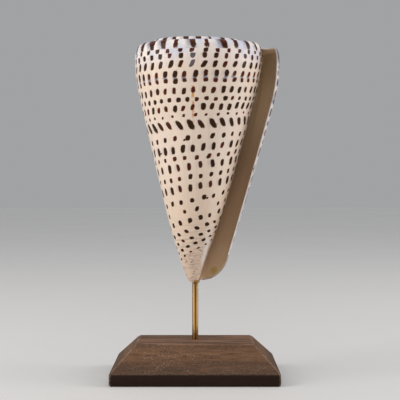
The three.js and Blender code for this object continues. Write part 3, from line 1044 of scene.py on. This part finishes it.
class CONESHELL_OT_block(bpy.types.Operator):
    """Model the stained wooden block with its broad bevels and worn edges"""

    bl_idname = "coneshell.block"
    bl_label = "Block"

    def execute(self, context):
        low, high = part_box("base")
        bevel_size = context.scene.cone_stand.block_bevel
        width, depth, height = (high[i] - low[i] for i in range(3))
        side = height - bevel_size
        deselect_all()
        bpy.ops.mesh.primitive_cube_add(size=1, location=(0, 0, side / 2), scale=(width, depth, side))
        block = bpy.context.object
        block.name = "wooden_block"
        bpy.ops.object.transform_apply(location=True, rotation=True, scale=True)
        bpy.ops.object.mode_set(mode="EDIT")
        bpy.ops.mesh.select_mode(type="FACE")
        bpy.ops.mesh.select_all(action="DESELECT")
        bpy.ops.object.mode_set(mode="OBJECT")
        for face in block.data.polygons:
            face.select = face.normal.z > 0.9
        bpy.ops.object.mode_set(mode="EDIT")
        bpy.ops.mesh.extrude_region_move(TRANSFORM_OT_translate={"value": (0, 0, bevel_size)})
        bpy.ops.transform.resize(
            value=((width - 2 * bevel_size) / width, (depth - 2 * bevel_size) / depth, 1))
        bpy.ops.mesh.select_all(action="SELECT")
        bpy.ops.mesh.normals_make_consistent(inside=False)
        bpy.ops.object.mode_set(mode="OBJECT")
        round_edges(block, BLOCK_EDGE_ROUNDING, 4, math.radians(20))
        bpy.ops.object.shade_smooth_by_angle(angle=math.radians(40))
        dress(block, wood_material(context.scene.cone_stand), "base")
        return {"FINISHED"}


def rubbed_mask(nodes, side, corner, foot_z):
    """Rubbed edges round the flat top, down the hips and along the foot of the slopes, and dots."""
    x, y, z = nodes.parts(nodes.place)
    blotch = nodes.noise(nodes.place, 90, 4, 0.6)
    specks = nodes.noise(nodes.place, 1500, 3, 0.7)
    out_x = abs(x) - corner[0]
    out_y = abs(y) - corner[1]
    rim = (
        abs(out_x.larger(out_y)).between(1.2 * MM, 0.0)
        * y.between(-corner[1], 3 * MM - corner[1], 0.25, 1.0))
    hip = abs(out_x - out_y).between(1.2 * MM, 0.0) * out_x.maths("GREATER_THAN", 0.0)
    foot = abs(z - foot_z).between(0.7 * MM, 0.0) * 0.3
    dots = (
        specks.between(0.57, 0.64) * blotch.between(0.40, 0.52)
        * x.between(20 * MM, -20 * MM, 0.35, 1.0) * (1 - side))
    return (rim.larger(hip).larger(foot) * specks.between(0.42, 0.6)).larger(dots)


def wood_material(settings):
    """Dark stain in the grain, redder high on the slopes, with painted sheen on the top and painted shade
    near black on the upright sides.
    """
    nodes = Nodes("stained_wood")
    _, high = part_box("base")
    bevel = settings.block_bevel
    top_z, foot_z = high[2], high[2] - bevel
    z = nodes.parts(nodes.place)[2]
    grain_place = nodes.stretched(0.09, 1.0, 1.0)
    grain = nodes.noise(grain_place, 3600, 4, 0.7)
    bands = nodes.noise(grain_place, 420, 3, 0.55)
    pores = nodes.noise(nodes.stretched(0.14, 1.0, 1.0), 4200, 2, 0.6)
    streaks = nodes.noise(nodes.stretched(0.07, 1.0, 1.0), 1700, 4, 0.65)
    side = z.between(foot_z + 0.4 * MM, foot_z - 1.0 * MM)
    reddish = abs(z - (foot_z + 7.5 * MM)).between(3.2 * MM, 1.2 * MM) * streaks.between(0.40, 0.62)
    dusky = z.between(foot_z + 6.5 * MM, foot_z + 1.0 * MM) * streaks.between(0.35, 0.6)
    flat = z.between(top_z - 0.8 * MM, top_z - 0.1 * MM)
    rubbed = rubbed_mask(nodes, side, (high[0] - bevel, high[1] - bevel), foot_z)
    colour = nodes.painted(
        settings.wood_dark,
        (grain.between(0.30, 0.66), settings.wood_light),
        (bands.between(0.42, 0.62, 0, 0.55), WOOD_BAND),
        (pores.between(0.56, 0.68, 0, 0.5), WOOD_PORE),
        (reddish * 0.7, WOOD_REDDISH),
        (dusky * 0.75, WOOD_DUSKY),
        # Painted sheen: the flat top made lighter in its bands
        (flat * bands.between(0.40, 0.58, 0.1, 0.8), WOOD_TOP_PAINTED_SHEEN),
        (flat * bands.between(0.50, 0.38, 0, 0.5), WOOD_TOP_DARK),
        # Painted shade: the upright sides made near black
        (side * 0.9, WOOD_SIDE_PAINTED_SHADE),
        (rubbed * 0.7, settings.wood_worn))
    return nodes.finish(
        colour, (grain + rubbed).evenly(0.3, 1.2, 0.6, 0.85),
        grain - pores.between(0.57, 0.7) * 0.6, 0.2 * MM, 0.6, specular_ior_level=0.12)


# Each soft light's name, place, aim, width, watts and colour, and how much higher than wide it is
SOFTBOXES = [
    ("left_softbox", (-0.75, -0.25, 0.42), (0, 0, 0.10), 0.5, 5.1, (1.0, 0.96, 0.92)),
    ("right_softbox", (0.84, -0.06, 0.38), (0, 0, 0.10), 0.45, 4.3, (1.0, 0.97, 0.95)),
    ("front_softbox", (0.02, -1.0, 0.48), (0, 0, 0.11), 0.5, 1.6, (1.0, 0.97, 0.93)),
]
SOFTBOX_HEIGHT_BY_WIDTH = 1.3
SKY_LIGHT = ("sky_light", (0, -0.3, 1.2), (0, 0, 0.10), 0.8, (0.94, 0.97, 1.0))
WORLD_COLOUR = (0.80, 0.81, 0.83, 1)
WORLD_STRENGTH = 0.45
FLOOR_SHADE = (0.58, 0.57, 0.56)
SENSOR_WIDTH = 36


class CONESHELL_OT_stage(bpy.types.Operator):
    """Set up the floor, the soft lights, the world's even light and the camera"""

    bl_idname = "coneshell.stage"
    bl_label = "Stage"

    def execute(self, context):
        settings = context.scene.cone_stage
        deselect_all()
        bpy.ops.mesh.primitive_plane_add(size=settings.floor_size, location=(0, 0, 0))
        floor = bpy.context.object
        floor.name = "floor"
        floor.data.materials.append(floor_material(settings))
        for softbox in SOFTBOXES:
            add_softbox(*softbox)
        add_sky()
        add_world()
        add_camera(settings)
        return {"FINISHED"}


def floor_material(settings):
    nodes = Nodes("pale_floor")
    cloud = nodes.noise(nodes.place, 6, 3)
    colour = nodes.mix(cloud.between(0.3, 0.7, 0, 0.3), settings.floor, FLOOR_SHADE)
    return nodes.finish(colour, cloud.between(0, 1, 0.6, 0.8))


def added_light(kind, name, place, target, strength, colour):
    """A new light that looks from its place to a target."""
    deselect_all()
    bpy.ops.object.light_add(type=kind, location=place)
    light = bpy.context.object
    light.name = name
    light.data.energy = strength
    light.data.color = colour
    x, y, z = (there - here for there, here in zip(target, place))
    light.rotation_euler = (math.pi / 2 + math.atan2(z, math.hypot(x, y)), 0, math.atan2(-x, y))
    return light


def add_softbox(name, place, target, width, watts, colour):
    light = added_light("AREA", name, place, target, watts, colour)
    light.data.shape = "RECTANGLE"
    light.data.size = width
    light.data.size_y = width * SOFTBOX_HEIGHT_BY_WIDTH
    light.visible_camera = False


def add_sky():
    """One broad, soft light from above, which lights the whole floor evenly."""
    added_light("SUN", *SKY_LIGHT).data.angle = math.radians(70)


def add_world():
    world = bpy.data.worlds.new("studio")
    bpy.context.scene.world = world
    world.use_nodes = True
    background = next(n for n in world.node_tree.nodes if n.type == "BACKGROUND")
    background.inputs["Color"].default_value = WORLD_COLOUR
    background.inputs["Strength"].default_value = WORLD_STRENGTH
    bpy.context.scene.view_settings.view_transform = "Standard"


def add_camera(settings):
    deselect_all()
    bpy.ops.object.camera_add(location=settings.camera_place, rotation=(math.pi / 2, 0, 0))
    camera = bpy.context.object
    camera.name = "photo_camera"
    camera.data.shift_y = settings.camera_shift
    camera.data.lens = settings.lens
    camera.data.sensor_width = SENSOR_WIDTH
    camera.data.clip_start = 0.01
    bpy.context.scene.camera = camera


class CONESHELL_PT_panel(bpy.types.Panel):
    """The pieces and the stage, as buttons"""

    bl_idname = "CONESHELL_PT_panel"
    bl_label = "Cone shell"
    bl_space_type = "VIEW_3D"
    bl_region_type = "UI"
    bl_category = "Cone shell"

    def draw(self, context):
        for operator in OPERATORS:
            self.layout.operator(operator.bl_idname)


OPERATORS = [
    CONESHELL_OT_stage,
    CONESHELL_OT_shell,
    CONESHELL_OT_post,
    CONESHELL_OT_glue,
    CONESHELL_OT_block,
]
CLASSES = [ShellSettings, StandSettings, StageSettings, *OPERATORS, CONESHELL_PT_panel]


def register():
    for cls in CLASSES:
        bpy.utils.register_class(cls)
    bpy.types.Scene.cone_shell = bpy.props.PointerProperty(type=ShellSettings)
    bpy.types.Scene.cone_stand = bpy.props.PointerProperty(type=StandSettings)
    bpy.types.Scene.cone_stage = bpy.props.PointerProperty(type=StageSettings)


def unregister():
    del bpy.types.Scene.cone_shell
    del bpy.types.Scene.cone_stand
    del bpy.types.Scene.cone_stage
    for cls in reversed(CLASSES):
        bpy.utils.unregister_class(cls)


def main():
    register()
    for operator in OPERATORS:
        group, name = operator.bl_idname.split(".")
        getattr(getattr(bpy.ops, group), name)()


if __name__ == "__main__":
    main()
